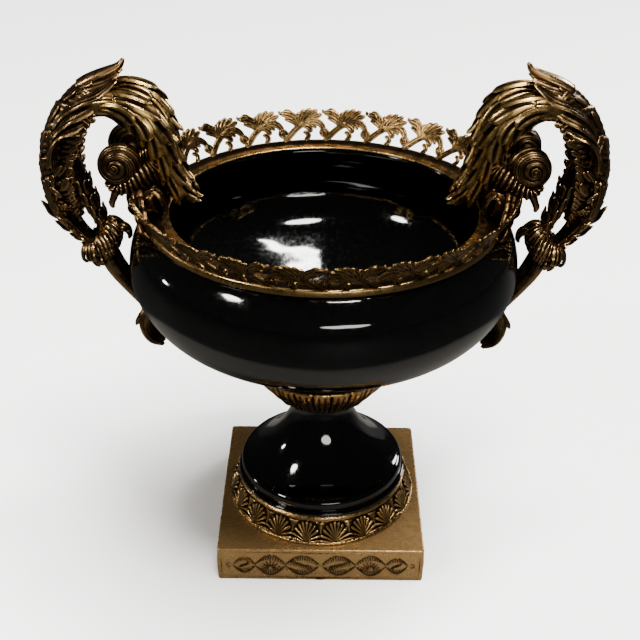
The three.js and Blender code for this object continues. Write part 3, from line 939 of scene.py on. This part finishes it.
def arm_lobes(bm, lobes):
    """Pointed lobes that stand off the edges, back and cheeks of the arm, tips towards the horn."""
    line = HandleLine(ARM_LINE)
    depth, width = spread(ARM_DEPTH, LINE_STEPS), spread(ARM_WIDTH, LINE_STEPS)

    def lobe(share, s, long, wide, lift, drift, veins):
        def on_arm(along, across, high):
            return arm_face(line, depth, width, share + along, s + across, high)

        ends = [on_arm(long * k, drift * k, -1.3 + (lift + 0.5) * k ** 2)
                for k in (0, 0.33, 0.66, 1)]
        side = on_arm(long / 2, 0.1, 0) - on_arm(long / 2, -0.1, 0)
        blade(bm, ends, wide, 1.5, side=side, rows=10, sides=14, flutes=veins, tip=0.25)

    for hand in (-1, 1):
        for k in range(2 * lobes):
            share = 0.03 + 0.80 * k / (2 * lobes)
            lobe(share, hand * 0.92, 0.06, 2.6, 1.6, hand * 0.14, 2)
            if k % 2:
                lobe(share, hand * 0.24, 0.075, 2.9, 2.0, hand * 0.10, 2)
                if share > 0.1:
                    lobe(share + 0.02, hand * 0.50, 0.08, 3.2, 1.6, hand * 0.2, 3)
            if 0.08 < share < 0.57:
                for row in (0.6, 0.76):
                    vary = math.sin(2.4 * k + 9 * row)
                    lobe(share + 0.018 * math.sin(1.7 * k + 5 * row), hand * (row + 0.05 * vary),
                         0.055 + 0.02 * vary, 2.7 + 0.7 * math.cos(3.1 * k + row), 2.0 + vary,
                         hand * 0.24 * math.sin(1.3 * k + 4 * row), 2)


# Head leaves of one half: line, half width, thickness, veins, and how far the leaf leans.
HEAD_LEAVES = (
    ([(217, 22, 374), (214, 24, 392), (206, 24.5, 406), (195, 23, 413), (183, 21, 416)],
     8.6, 2.6, 5, 0.45),
    ([(217, 20, 386), (210.5, 22.5, 404), (199, 22, 417.5), (186, 20, 425), (173, 17.5, 430)],
     8.4, 2.6, 5, 0.5),
    ([(216, 15.5, 404), (203, 17, 420), (189, 16.5, 430.5), (175, 15, 436.5), (161, 12.5, 446)],
     8.4, 2.8, 5, 0.8),
    ([(208, 6, 421), (196, 7.5, 433), (184, 8, 439), (173, 7, 442.5), (161, 5, 447)],
     7.0, 2.6, 4, 0.95),
)
HORN = [
    (197, 0, 436), (187, 0, 441), (177, 0, 445), (169.5, 0, 448), (163.5, 0, 451.2),
    (159.8, 0, 455), (158, 0, 458.8),
]


def head_leaves(bm):
    """Long parallel-veined leaves of the head, overlapping towards the upturned horn."""
    for hand in (-1, 1):
        for points, wide, thick, veins, lean in HEAD_LEAVES:
            blade(bm, handed(points, hand), wide, thick, side=(0.42, hand * lean, -0.62),
                  rows=30, sides=40, flutes=veins, tip=0.22)
    sweep(bm, HORN, [9, 9, 8, 6.4, 4.6, 3.0, 1.6], [4, 5, 5.2, 4.8, 3.8, 2.5, 1.4],
          rows=28, sides=24, flutes=3, flute=0.18)


class URN_OT_arms(bpy.types.Operator):
    """Outer leaf of each handle with its lobes, head leaves and horn"""

    bl_idname = "urn.arms"
    bl_label = "Handle leaves"

    def execute(self, context):
        lobes = context.scene.urn_sizes.arm_lobes
        bm = bmesh.new()
        arm_shell(bm, lobes)
        arm_feet(bm)
        arm_lobes(bm, lobes)
        head_leaves(bm)
        material = dark_gilt(context.scene.urn_colours)
        both_handles(bm, "handle_leaf", material, reach=0.45, steps=5)
        return {"FINISHED"}


# Leaves of one step along a strand: how far along, angle round it, length, half width, how far the
# tip stands off, and how far the leaf turns round the strand.
STRAND_LEAVES = (
    (0, 98, 0.20, 7.2, 4.5, -12), (0.05, 48, 0.21, 7.0, 5.0, 16), (-0.01, 2, 0.20, 7.0, 5.6, -14),
    (0.04, -46, 0.18, 6.6, 6.4, -12), (0, -86, 0.15, 5.6, 6.0, 8), (0.03, 152, 0.17, 5.8, 3.6, -10),
)


class URN_OT_strands(bpy.types.Operator):
    """Twin fluted strands of each handle that droop over the rim in feathered lobes"""

    bl_idname = "urn.strands"
    bl_label = "Handle strands"

    def execute(self, context):
        bm = bmesh.new()
        line = HandleLine(STRAND_LINE)
        sides, thick, width = (
            spread(values, LINE_STEPS) for values in (STRAND_SIDE, STRAND_THICK, STRAND_WIDTH)
        )

        def leaf(hand, share, angle, long, wide, lift, swirl):
            points = []
            for k in (0, 0.3, 0.6, 0.85, 1):
                here = min(1, share + long * k)
                i = round(here * LINE_STEPS)
                turn = math.radians(angle + swirl * k)
                off = -1.4 + (lift + 1.4) * k ** 1.6
                aside = hand * (sides[i] + (width[i] + off) * math.cos(turn))
                points.append(line.beside(here, (thick[i] + off) * math.sin(turn), aside))
            dx, dz = line.at(min(1, share + long / 2))[1]
            turn = math.radians(angle + swirl / 2)
            side = (dz * math.cos(turn), -hand * math.sin(turn), -dx * math.cos(turn))
            blade(bm, points, wide, 2.3, side=side, rows=22, sides=28, flutes=2, tip=0.2, flute=0.72)

        for hand in (-1, 1):
            sweep(bm, planar(STRAND_LINE, [hand * y for y in STRAND_SIDE]), STRAND_WIDTH,
                  STRAND_THICK, rows=100, sides=60, flutes=5, flute=0.5)
            for k in range(-1, 4):
                share, small = 0.35 + 0.125 * k, 1 - 0.08 * abs(k)
                for step, angle, long, wide, lift, swirl in STRAND_LEAVES:
                    leaf(hand, share + step, angle, long, wide * small, lift, swirl)
            leaf(hand, 0.50, 84, 0.13, 4.4, 9.0, 6)
            tip = handed([(124, 10, 364), (116.5, 9, 350), (109, 6, 342.5), (101.5, 4, 339)], hand)
            sweep(bm, tip, [5.5, 6.5, 5, 1.5], [2.4, 2.8, 2.2, 0.8],
                  side=(0.25, hand * 0.9, 0.25), rows=20, sides=28, flutes=2, flute=0.6)
        material = bright_gilt(context.scene.urn_colours)
        both_handles(bm, "handle_strand", material, reach=0.5, steps=5)
        return {"FINISHED"}


# Section of a volute from its raised eye over its edge to its back, in radii and half widths.
VOLUTE_LINE = [
    (0, 1.28), (0.1, 1.22), (0.3, 1.06), (0.55, 0.98), (0.8, 0.84), (0.97, 0.5), (1.02, 0.0),
    (0.95, -0.6), (0.7, -0.85), (0.35, -0.95), (0, -1),
]


def snail(bm, hand):
    """A volute: a domed roll whose banded ribs wind in to its raised eye and run round its edge."""
    rows = 110
    (x, y, z), = handed([VOLUTE_EYE], hand)
    section = smooth_line(VOLUTE_LINE, rows) * (VOLUTE_RADIUS, VOLUTE_HALF)
    along = unit(np.gradient(section, axis=0))
    steps = np.linalg.norm(np.diff(section, axis=0), axis=1)
    walked = np.concatenate([[0], np.cumsum(steps)])

    def place(around, share):
        i = round(share * rows)
        turn = around * TURN
        coil = math.log(max(walked[i], 0.6) / 1.6) / math.log(1.95)
        band = (coil - hand * around) % 1.0
        swell = 1.5 * math.sin(math.pi * band) ** 0.7 * min(1, walked[i] / 7 + 0.25)
        lines = 0.24 * math.cos(TURN * 5 * band) * min(1, walked[i] / 9)
        rib = swell + lines - 0.8 if 0 < i < rows else 0
        r = section[i][0] - along[i][1] * rib
        r = max(0, r) if i < 3 else r
        out = section[i][1] + along[i][0] * rib
        r *= 1 + 0.06 * math.cos(turn - 2.2)
        eye = 3.4 * max(0, 1 - r / VOLUTE_RADIUS) if i < rows // 2 else 0
        return x + eye + r * math.cos(turn), y + hand * out, z + r * math.sin(turn)

    closed_cloth(bm, 120, rows, place)


def ribbed_shell(bm, points, width, thick):
    """A curved body with ribs across it, like the back of a scallop."""
    rows, ribs = 120, 15
    middle = smooth_line(points, rows)
    along = unit(np.gradient(middle, axis=0))
    across = unit(np.cross(along, np.cross((0, 1, 0), along)))
    up = np.cross(along, across)
    wide, high = spread(width, rows), spread(thick, rows)

    def place(around, share):
        i = round(share * rows)
        fade = 0 if i in (0, rows) else 1
        c, s = math.cos(around * TURN), math.sin(around * TURN)
        rib = 1 + 0.11 * math.cos(TURN * (ribs * share + 0.35 * s))
        return middle[i] + fade * rib * (across[i] * c * wide[i] + up[i] * s * high[i])

    closed_cloth(bm, 40, rows, place)


SEAT_OUTLINE = [
    (130, 336), (129.5, 345), (131, 354), (137, 361.5), (147, 360), (156.5, 356), (156.5, 349.5),
    (152, 342), (146.5, 336), (138, 335.6), (130, 336),
]
SEAT_MIDDLE = (142, 348)
SEAT_HALF = 33.6


def seat_body(bm):
    """The folded block that carries strands and volutes on the rim."""
    around_steps = 60
    outline = smooth_line(SEAT_OUTLINE, around_steps)
    middle = np.array(SEAT_MIDDLE)

    def place(around, share):
        y = (2 * share - 1) * SEAT_HALF
        end = min(1, math.sqrt(max(0, 1 - abs(2 * share - 1) ** 7)))
        fold = abs(y) / 5.4 + 0.55 * math.sin(around * TURN * 1.5)
        rib = 0.9 * math.cos(TURN * fold) + 0.25 * math.cos(TURN * 3 * fold)
        way = outline[round(around * around_steps) % around_steps] - middle
        x, z = middle + way * (end * (1 + (rib - 1.4) / np.linalg.norm(way)))
        return x, y, z

    closed_cloth(bm, around_steps, 120, place)


def seat_leaves(bm, hand):
    """Leaves of half a seat: over its front and back, and one that braces it on the rim."""
    for k in range(4):
        y = 7 + 7.5 * k
        front = [(137 + 2 * k, y - 4, 361 - 2 * k), (147 + k, y - 1, 359 - 2 * k),
                 (155.5, y + 3, 350 - k), (153, y + 6, 340)]
        blade(bm, handed(front, hand), 7.0, 3.0, side=(0.1, hand, 0.1),
              rows=24, sides=32, flutes=2, tip=0.25, flute=0.6)
        back = [(140, y - 3, 359), (132, y - 1, 353), (129.5, y + 1, 344), (131.5, y + 4, 336.5)]
        blade(bm, handed(back, hand), 6.2, 2.4, side=(0, hand, 0.1),
              rows=20, sides=28, flutes=2, tip=0.3, flute=0.6)
    brace = [(157, 8, 352), (159.5, 13, 347), (157, 20, 341), (151, 29, 337.5), (143, 38, 337)]
    blade(bm, handed(brace, hand), 5.2, 3.2, side=(0.3, 0.2 * hand, 1),
          rows=30, sides=36, flutes=3, tip=0.3, flute=0.7)


def rim_leaves(bm, hand):
    """Leaves that fold over one another round the outer side of half a seat, along the rim."""
    radius, lowest = 153, 336
    for k in range(4):
        first = 5.5 + 4.2 * k + 1.4 * math.sin(radius)
        top = 360.5 - 0.6 * (radius - 146) ** 2 / 10 - 5.0 * k + 1.5
        leaf = [(radius - 1, first, top - 3), (radius + 0.5, first + 2.6, top + 0.4),
                (radius + 1, first + 5.2, top - 3.2), (radius - 0.5, first + 7.6, top - 9.5)]
        line = [(r * math.cos(math.radians(a)), r * math.sin(math.radians(a)), max(z, lowest))
                for r, a, z in leaf]
        blade(bm, handed(line, hand), 5.4, 2.0, side=(0.86, -0.1 * hand, 0.3 * math.cos(k + radius)),
              rows=18, sides=24, flutes=2, tip=0.3, flute=0.5)


class URN_OT_volutes(bpy.types.Operator):
    """Twin ribbed volutes of each handle, the shells that carry them, and their leafy seat"""

    bl_idname = "urn.volutes"
    bl_label = "Handle volutes and seats"

    def execute(self, context):
        colours = context.scene.urn_colours
        bm, seat = bmesh.new(), bmesh.new()
        shell = [(134, 13, 383), (138, 16, 375), (146, 20, 369.5), (156, 22.5, 363),
                 (167, 24, 359.5), (176, 24, 366)]
        tail = [(167, 24, 360), (171, 24.5, 350), (172.5, 24.5, 346), (171.5, 24, 341)]
        for hand in (-1, 1):
            snail(bm, hand)
            ribbed_shell(bm, handed(shell, hand), [6, 9, 10, 9.2, 8.6, 6.5], [6, 9, 9.5, 8, 5.5, 2])
            sweep(bm, handed(tail, hand), [4, 3.4, 2.6, 1.2], [4.2, 3, 2.8, 1.2], rows=12, sides=12)
            seat_leaves(seat, hand)
        seat_body(seat)
        for hand in (-1, 1):
            rim_leaves(seat, hand)
        both_handles(bm, "handle_volute", dark_gilt(colours), reach=0.4, steps=5)
        both_handles(seat, "handle_seat", gilt(
            "seat_gilt", colours.band, colours.plinth, colours.hollow, 0.75, 0.6,
        ), reach=0.4, steps=5)
        return {"FINISHED"}


def collar(bm):
    """Two rows of curled petals round the top of the stem, each with a small leaf below it."""
    along = np.array((-0.34, 0, -0.94))
    out = np.array((0.94, 0, -0.34))
    across = np.array((0, 1.0, 0))
    middle = np.array((186, 0, 294))
    for k in range(8):
        for half, wide, far in ((0.0, 5.4, 1.0), (0.5, 4.4, 0.84)):
            turn = TURN * (k + 0.5 + half) / 8
            ray = (out * math.cos(turn) * 1.08 + across * math.sin(turn) * 1.28) * far
            side = -out * math.sin(turn) + across * math.cos(turn)
            start = middle + along * (6 * math.cos(turn) - 4)
            # Each petal's line, as far out along the ray and then down the stem.
            petal = ((5, -8), (10, -(12 - 6 * half)), (15.5, -10), (19, -4.5), (19.5, 0.5), (17, 3))
            blade(bm, [start + ray * r + along * down for r, down in petal], wide, 2.0,
                  side=side, rows=24, sides=32, flutes=3, tip=0.45, flute=0.75)
            small = ((9, -1), (12.5, 2), (14, 7), (11, 12.5))
            blade(bm, [start + ray * r + along * down for r, down in small], wide * 0.8, 1.7,
                  side=side, rows=18, sides=28, flutes=3, tip=0.35, flute=0.7)


class URN_OT_stems(bpy.types.Operator):
    """Collar of curled leaves, hook, reeded stem and toe leaf of each handle"""

    bl_idname = "urn.stems"
    bl_label = "Handle stems"

    def execute(self, context):
        bm = bmesh.new()
        stem = [(188, 0, 299), (180.5, 0, 279), (172, 0, 265), (162.8, 0, 252), (152.5, 0, 239),
                (146, 0, 231)]
        sweep(bm, stem, [14, 13.6, 13, 12.5, 12.5, 12], [8, 8.5, 7.5, 6.2, 5.6, 5],
              rows=50, sides=48, flutes=5, flute=0.3)
        collar(bm)
        hook = [(183, 0, 301), (177.5, 0, 309), (172, 0, 313), (167, 0, 311.5), (164.8, 0, 306.5),
                (166, 0, 302)]
        sweep(bm, hook, [9, 9.5, 8.5, 7, 5, 2.5], [4, 4.2, 3.6, 3, 2.4, 1.4],
              rows=30, sides=36, flutes=3, flute=0.6)
        toe = [(151, 5, 241), (158, 7, 229), (158.5, 7.5, 217), (152.5, 7.5, 205.5), (141, 6.5, 200)]
        for hand in (-1, 0, 1):
            blade(bm, handed(toe, hand), 5.6, 3.8, rows=24, sides=28, flutes=3, tip=0.5, flute=0.6)
        tip = [(152, 0, 237), (159, 0, 229), (164, 0, 221.5), (167, 0, 216)]
        blade(bm, tip, 6.5, 3.0, rows=16, sides=20, flutes=3, tip=0.3)
        material = dark_gilt(context.scene.urn_colours)
        both_handles(bm, "handle_stem", material, reach=0.45, steps=5)
        return {"FINISHED"}


# Stage

WHITE = (1.0, 0.98, 0.94)
LAMP_TARGET = (0, 0, 0.25)
# The soft lamps: name, place, size, power and colour.
LAMPS = (
    ("ceiling_front", (0.30, -0.66, 1.9), (0.55, 0.28), 34, WHITE),
    ("ceiling_middle", (0.36, 0.09, 1.9), (0.08, 0.66), 20, WHITE),
    ("ceiling_left", (-1.7, -0.95, 1.9), (0.42, 0.30), 34, (1.0, 0.96, 0.9)),
    ("window", (0.5, -2.3, 0.95), (1.1, 0.32), 18, WHITE),
    ("low_left", (-1.5, 0.15, 0.55), (0.12, 0.08), 3, (1.0, 0.95, 0.88)),
    ("back_right", (1.5, 1.7, 1.2), (0.5, 0.4), 26, (1.0, 0.97, 0.94)),
)
CAMERA_PLACE = (0, -0.831, 0.719)
CAMERA_DOWN, CAMERA_ROLL = math.radians(30.85), math.radians(0.6)


def floor_material():
    """Pale floor. The glaze mirrors it darker, and darkest away from the urn, so that the porcelain
    keeps its black."""
    material, tree, shader = new_material("pale_floor")
    mirrored = add_node(tree, "ShaderNodeLightPath").outputs["Is Glossy Ray"]
    place = add_node(tree, "ShaderNodeTexCoord").outputs["Object"]
    multiply, length = {"operation": "MULTIPLY"}, {"operation": "LENGTH"}
    oval = add_node(tree, "ShaderNodeVectorMath", multiply, i0=place, i1=(0.62, 1, 1)).outputs[0]
    away = add_node(tree, "ShaderNodeVectorMath", length, i0=oval).outputs["Value"]
    near, far = (0.07, 0.066, 0.058, 1), (0.006, 0.006, 0.006, 1)
    dim = blended(tree, ranged(tree, away, 0.27, 0.34), near, far)
    tone = blended(tree, mirrored, (0.95, 0.95, 0.94, 1), dim)
    tree.links.new(tone, shader.inputs["Base Color"])
    shader.inputs["Roughness"].default_value = 0.7
    return material


def lay_floor(scene):
    """A floor wide enough to fill every view."""
    bm = bmesh.new()
    bmesh.ops.create_grid(bm, x_segments=1, y_segments=1, size=60)
    mesh = bpy.data.meshes.new("floor")
    bm.to_mesh(mesh)
    bm.free()
    mesh.materials.append(floor_material())
    floor = bpy.data.objects.new("floor", mesh)
    scene.collection.objects.link(floor)


def dim_world(scene):
    """A dim room, which is pale where the camera sees past the floor."""
    world = scene.world or bpy.data.worlds.new("studio")
    scene.world = world
    world.use_nodes = True
    tree = world.node_tree
    dim = tree.nodes["Background"]
    dim.inputs["Color"].default_value = (1.0, 0.98, 0.95, 1)
    dim.inputs["Strength"].default_value = 0.035
    pale = add_node(tree, "ShaderNodeBackground", Color=(0.9, 0.9, 0.89, 1), Strength=1.0)
    seen = add_node(tree, "ShaderNodeLightPath").outputs["Is Camera Ray"]
    both = add_node(
        tree, "ShaderNodeMixShader", i0=seen, i1=dim.outputs[0], i2=pale.outputs[0],
    ).outputs[0]
    tree.links.new(both, tree.nodes["World Output"].inputs["Surface"])


def hang_lamps(scene):
    """The soft oval lamps, which face the urn, and a broad overhead light that nothing mirrors."""
    for name, place, size, power, tone in LAMPS:
        lamp = bpy.data.lights.new(name, "AREA")
        lamp.shape = "ELLIPSE"
        lamp.size, lamp.size_y = size
        lamp.energy, lamp.color = power, tone
        holder = bpy.data.objects.new(name, lamp)
        holder.location = place
        way = Vector(LAMP_TARGET) - Vector(place)
        holder.rotation_euler = way.to_track_quat("-Z", "Y").to_euler()
        scene.collection.objects.link(holder)
    overhead = bpy.data.lights.new("overhead", "SUN")
    overhead.energy, overhead.angle = 11.0, math.radians(40)
    holder = bpy.data.objects.new("overhead", overhead)
    holder.rotation_euler = Vector((0.2, -0.03, 1.0)).to_track_quat("Z", "Y").to_euler()
    holder.visible_glossy = False
    scene.collection.objects.link(holder)


def set_camera(scene):
    """A camera that looks down on the urn from the front."""
    lens = bpy.data.cameras.new("camera")
    lens.sensor_width, lens.lens = 36, 61.14375
    lens.shift_x = -0.0046875
    camera = bpy.data.objects.new("camera", lens)
    tilt = Matrix.Rotation(math.pi / 2 - CAMERA_DOWN, 4, "X")
    roll = Matrix.Rotation(CAMERA_ROLL, 4, "Z")
    camera.matrix_world = Matrix.Translation(CAMERA_PLACE) @ (tilt @ roll)
    scene.collection.objects.link(camera)
    scene.camera = camera


class URN_OT_stage(bpy.types.Operator):
    """Pale floor, soft lamps and the camera"""

    bl_idname = "urn.stage"
    bl_label = "Stage"

    def execute(self, context):
        lay_floor(context.scene)
        dim_world(context.scene)
        hang_lamps(context.scene)
        set_camera(context.scene)
        return {"FINISHED"}


# Settings and panel


def colour(label, note, value):
    """A colour that the user can change."""
    return bpy.props.FloatVectorProperty(
        name=label, description=note, subtype="COLOR", size=3, min=0, max=1, default=value,
    )


def number(label, note, value):
    """A count that the user can change."""
    return bpy.props.IntProperty(name=label, description=note, min=1, default=value)


class UrnColours(bpy.types.PropertyGroup):
    """Colours of the glaze and of the gilding"""

    glaze: colour("Glaze", "Black of the glaze", (0.0005, 0.0005, 0.0005))
    glaze_dust: colour("Glaze dust", "Thin dust on the glaze", (0.002, 0.0018, 0.0017))
    # Kept dark partly as painted shade on the handles' faces
    brown: colour("Brown gilt", "Handles, between edges and hollows", (0.044, 0.026, 0.0125))
    brown_edge: colour("Brown gilt edges", "Handles, on raised edges", (0.28, 0.17, 0.072))
    gold: colour("Gold", "Strands", (0.075, 0.044, 0.018))
    gold_edge: colour("Gold edges", "Strands, on raised edges", (0.52, 0.33, 0.115))
    leaf: colour("Gallery gilt", "Gallery", (0.046, 0.025, 0.009))
    leaf_edge: colour("Gallery gilt edges", "Gallery, on raised edges", (0.235, 0.14, 0.048))
    ring: colour("Cast gilt", "Rim, calyx and palmette ring", (0.085, 0.049, 0.02))
    ring_edge: colour("Cast gilt edges", "Rim, calyx and palmette ring, on raised edges",
                      (0.48, 0.30, 0.11))
    plinth: colour("Plinth gilt", "Plinth, and raised edges of its bands and of the handle seats",
                   (0.088, 0.047, 0.018))
    plinth_edge: colour("Plinth gilt edges", "Plinth, on raised edges", (0.28, 0.165, 0.06))
    # Painted shade of engraved grooves on the plinth bands' strokes; the handle seats take it too
    band: colour("Band gilt", "Plinth's bands and handle seats", (0.016, 0.008, 0.003))
    # Lacquer and dirt in crevices, and painted shade where nearby parts close in
    hollow: colour("Hollows", "Lacquer, dirt and painted shade in hollows", (0.008, 0.004, 0.002))


class UrnSizes(bpy.types.PropertyGroup):
    """Sizes and counts of the urn's ornament"""

    bowl_wall: bpy.props.FloatProperty(
        name="Bowl wall", description="Thickness of the porcelain", default=0.007, min=0.004,
        max=0.01, subtype="DISTANCE", unit="LENGTH",
    )
    ring_leaves: number("Ring leaves", "Palmettes round the ring", 20)
    calyx_flutes: number("Calyx flutes", "Gadroons round the calyx", 24)
    gallery_pitches: number(
        "Gallery pitches", "Scrolls that a whole turn of the gallery would hold", GALLERY_PITCHES,
    )
    gallery_each_side: number("Gallery scrolls", "Scrolls between the handles on each side", 10)
    arm_lobes: number("Arm lobes", "Lobes along each arm", 9)


class URN_PT_panel(bpy.types.Panel):
    """Lists the urn's sizes, colours and pieces"""

    bl_idname = "URN_PT_panel"
    bl_label = "Mantel Urn"
    bl_space_type = "VIEW_3D"
    bl_region_type = "UI"
    bl_category = "Urn"

    def draw(self, context):
        for group in (context.scene.urn_sizes, context.scene.urn_colours):
            for label in group.__annotations__:
                self.layout.prop(group, label)
        for piece in PIECES:
            self.layout.operator(piece.bl_idname)


PIECES = (
    URN_OT_stage, URN_OT_plinth, URN_OT_acanthus_ring, URN_OT_porcelain, URN_OT_calyx, URN_OT_rim,
    URN_OT_arms, URN_OT_strands, URN_OT_volutes, URN_OT_stems,
)
CLASSES = (UrnColours, UrnSizes, *PIECES, URN_PT_panel)


def register():
    for made in CLASSES:
        bpy.utils.register_class(made)
    bpy.types.Scene.urn_colours = bpy.props.PointerProperty(type=UrnColours)
    bpy.types.Scene.urn_sizes = bpy.props.PointerProperty(type=UrnSizes)


def unregister():
    del bpy.types.Scene.urn_sizes
    del bpy.types.Scene.urn_colours
    for made in reversed(CLASSES):
        bpy.utils.unregister_class(made)


def main():
    register()
    for piece in PIECES:
        group, name = piece.bl_idname.split(".")
        getattr(getattr(bpy.ops, group), name)()


if __name__ == "__main__":
    main()
